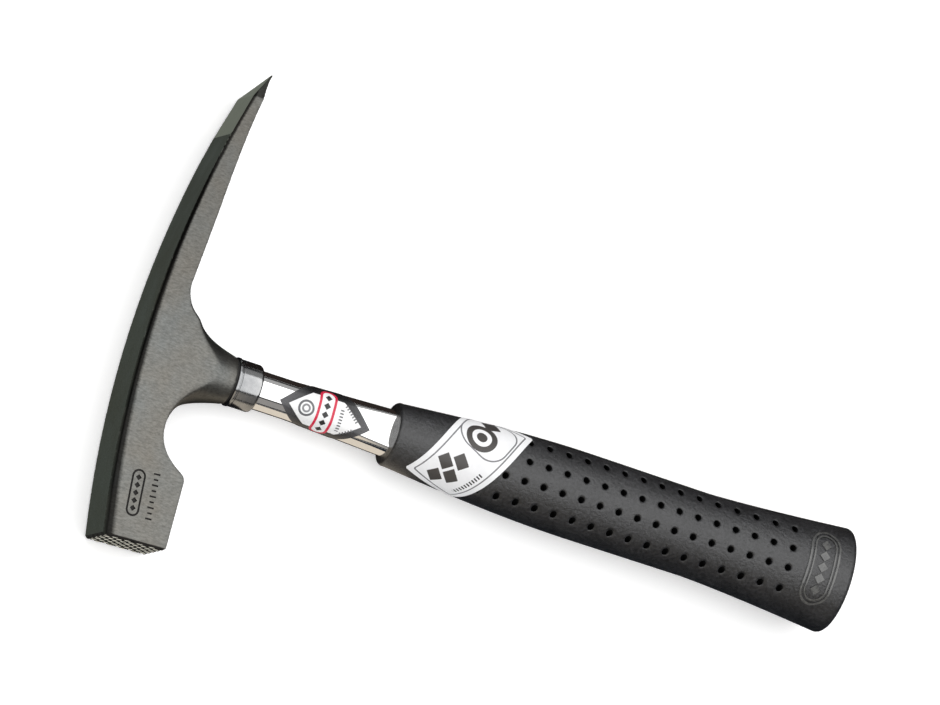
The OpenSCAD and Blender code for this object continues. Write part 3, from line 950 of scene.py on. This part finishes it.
tile_places = ((-18.4, 3.6), (-11.2, 5.6), (-14.2, -1.0), (-7.0, 1.0))
film_tone = layered(
    film_white,
    ((0, 0), (film_long - 4.4, film_wide - 4.4), 1.0, 0.0, line_grey),
    ((0, 0), (film_long - 5.6, film_wide - 5.6), 0.7, 0.0, film_white),
    ((10.8, 0.6), (21.8, 21.6), 7.5, 0.0, line_grey),
    ((10.8, 0.6), (20.6, 20.4), 7.0, 0.0, film_white),
    ((7.0, 1.8), (13.0, 13.0), 6.4, 0.0, sign_grey),
    ((7.0, 1.8), (8.2, 8.2), 4.0, 0.0, film_white),
    ((7.0, 1.8), (4.4, 4.4), 2.1, 0.0, sign_grey),
    ((16.6, 2.2), (6.2, 6.2), 0.3, 45.0, sign_grey),
    *[(middle, (4.6, 6.0), 0.2, -24.0, sign_grey) for middle in tile_places],
)
mark_row = row_of(label_film, place, (-11.5, -8.6), 1.25)
mark_mask = both(
    label_film,
    patch(label_film, mark_row, (0, 0), (0.62, 1.9)),
    patch(label_film, place, (-11.8, -8.6), (14.0, 2.4)),
)
film_tone = blended(label_film, mark_mask, film_tone, (0.03, 0.03, 0.03, 1))
film_noise = grain(label_film, (250.0, 250.0, 250.0))
film_shade = ramp(label_film, film_noise, (0.3, (0.94, 0.94, 0.94)), (0.7, (1, 1, 1)))
to_shader(
    label_film,
    Base_Color=blended(label_film, 1.0, film_tone, film_shade, "MULTIPLY"),
    Roughness=spread(label_film, film_noise, 0.30, 0.42),
    Normal=bumped(label_film, film_noise, 0.05, 0.00004),
)
corner_cut = 1.5
film_cuts = [
    ((film_long / 2, 0), (1, 0)),
    ((-film_long / 2, 0), (-1, 0)),
    ((0, film_wide / 2), (0, 1)),
    ((0, -film_wide / 2), (0, -1)),
]
for sign_x in (-1, 1):
    for sign_y in (-1, 1):
        corner = (sign_x * (film_long / 2 - corner_cut), sign_y * (film_wide / 2 - corner_cut))
        for lean in (22.5, 45.0, 67.5):
            away = (math.cos(math.radians(lean)) * sign_x, math.sin(math.radians(lean)) * sign_y)
            film_cuts.append(((corner[0] + away[0] * corner_cut, corner[1] + away[1] * corner_cut), away))
grip_label = flat_print("grip_label_film", 56.0, film_cuts)
film_turn = math.radians(61.5)
film_along = 89.6
film_offset = 1.2
for vertex in grip_label.data.vertices:
    flat_along = vertex.co.x * math.cos(film_turn) - vertex.co.y * math.sin(film_turn)
    flat_across = vertex.co.x * math.sin(film_turn) + vertex.co.y * math.cos(film_turn)
    along = film_along + flat_along * 1000
    radius = (grip_radius(along) + 0.04) / 1000 + vertex.co.z
    angle = (flat_across + film_offset / 1000) / radius
    vertex.co = at(along, 0) + Vector((0, radius * math.sin(angle), radius * math.cos(angle)))
with_materials(grip_label, [label_film])
only(grip_label)
bpy.ops.object.shade_smooth_by_angle(angle=math.radians(40))
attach(grip_label, "root")
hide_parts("grip_label")

# ---------------------------------------------------------------------------
# Table and light. A pale table, tilted to touch the butt and the head's cheek, under a
# wide soft light with cards at the sides that the polished parts mirror.
# ---------------------------------------------------------------------------
head_rest = Vector((head_low.x, axis_y, head_low.z))
butt_rest = at(butt_edge - edge_round, 0, -butt_radius)
table_tilt = math.atan2(head_rest.z - butt_rest.z, butt_rest.x - head_rest.x)


def on_table(lift):
    """The table's own place, lifted off it by a little."""
    return Matrix.Translation(butt_rest + Vector((0, 0, lift))) @ Matrix.Rotation(table_tilt, 4, "Y")


pale = (0.93, 0.93, 0.93, 1)
table_paint = material(
    "table_paint",
    Base_Color=pale,
    Roughness=0.9,
    Specular_IOR_Level=0.1,
    Emission_Color=(1, 1, 1, 1),
    Emission_Strength=0.30,
)
bpy.ops.mesh.primitive_plane_add(size=8.0)
table = bpy.context.object
table.name = "table"
table.matrix_world = on_table(-0.00002)
with_materials(table, [table_paint])


def card(name, place, size, tone):
    """A card that only shows in polished surfaces, not to the camera."""
    bpy.ops.mesh.primitive_plane_add(size=1.0)
    made = bpy.context.object
    made.name = name
    shade = bpy.data.materials.new(name)
    shade.use_nodes = True
    nodes = shade.node_tree.nodes
    nodes.clear()
    glow = nodes.new("ShaderNodeEmission")
    glow.inputs["Color"].default_value = (*tone, 1)
    output = nodes.new("ShaderNodeOutputMaterial")
    shade.node_tree.links.new(glow.outputs["Emission"], output.inputs["Surface"])
    made.data.materials.append(shade)
    made.matrix_world = place @ Matrix.Diagonal((*size, 1.0, 1.0))
    for ray in ("camera", "diffuse", "transmission", "volume_scatter", "shadow"):
        setattr(made, "visible_" + ray, False)


def on_cards(along, across, lift):
    """A place on the table, in millimetres from the ferrule's front end and the handle's axis."""
    return on_table(lift) @ Matrix.Translation((at(along, 0).x - butt_rest.x, across / 1000, 0))


# Green-grey card before the outer face, dark cards by the neck and the grip, warm cards in front
card("grey_card_at_the_head", on_cards(-600, 0, 0.00006), (1.2, 2.4), (0.25, 0.28, 0.25))
card("dark_card_at_the_neck", on_cards(-21, -55, 0.00010), (0.046, 0.080), (0.016, 0.016, 0.018))
card("dark_card_behind", on_cards(602, 585, 0.00008), (1.2, 1.2), (0.026, 0.020, 0.018))
card("dark_card_beside_the_neck", on_cards(-19, 15, 0.00011), (0.042, 0.060), (0.016, 0.016, 0.018))
card("warm_card_in_front", on_cards(38.5, -615, 0.00009), (0.073, 1.2), (0.74, 0.66, 0.55))
card("dark_card_in_front", on_cards(675, -615, 0.00007), (1.2, 1.2), (0.020, 0.024, 0.032))
upright = Matrix.Translation((-0.53, -1.16, 0.47)) @ Matrix.Rotation(math.radians(67), 4, "X")
card("warm_card_standing", upright, (1.56, 1.00), (0.74, 0.66, 0.55))
leaning = Matrix.Translation((-0.42, 1.20, 0.72)) @ Matrix.Rotation(math.radians(-62), 4, "X")
card("white_card_leaning", leaning, (1.30, 0.80), (1.15, 1.15, 1.15))


def soft_light(name, place, towards, size, brightness, tone):
    """A rectangular light of even brightness, out of the camera's sight."""
    lamp = bpy.data.lights.new(name, "AREA")
    lamp.shape = "RECTANGLE"
    lamp.size, lamp.size_y = size
    lamp.energy = brightness * math.pi * size[0] * size[1]
    lamp.color = tone
    holder = bpy.data.objects.new(name, lamp)
    bpy.context.scene.collection.objects.link(holder)
    holder.location = place
    holder.rotation_euler = (Vector(towards) - Vector(place)).to_track_quat("-Z", "Y").to_euler()
    holder.visible_camera = False


soft_light("overhead", (0.50, 0.15, 1.00), (0.50, 0.15, 0), (3.2, 1.8), 1.9, (1.0, 1.0, 1.0))
soft_light("behind", (0.10, 1.25, 0.70), (0, 0.1, 0.05), (2.2, 0.80), 0.36, (1.0, 1.0, 1.0))
soft_light("in_front", (0.10, -1.30, 0.62), (0, 0, 0.02), (2.2, 0.95), 0.24, (1.0, 0.96, 0.92))

world = bpy.data.worlds.new("studio")
bpy.context.scene.world = world
world.use_nodes = True
backdrop = world.node_tree
sky = backdrop.nodes["Background"]
seen = backdrop.nodes.new("ShaderNodeLightPath")
shade = backdrop.nodes.new("ShaderNodeMix")
shade.data_type = "RGBA"
shade.inputs["A"].default_value = (0.05, 0.05, 0.05, 1)
shade.inputs["B"].default_value = pale
backdrop.links.new(seen.outputs["Is Camera Ray"], shade.inputs["Factor"])
backdrop.links.new(shade.outputs["Result"], sky.inputs["Color"])
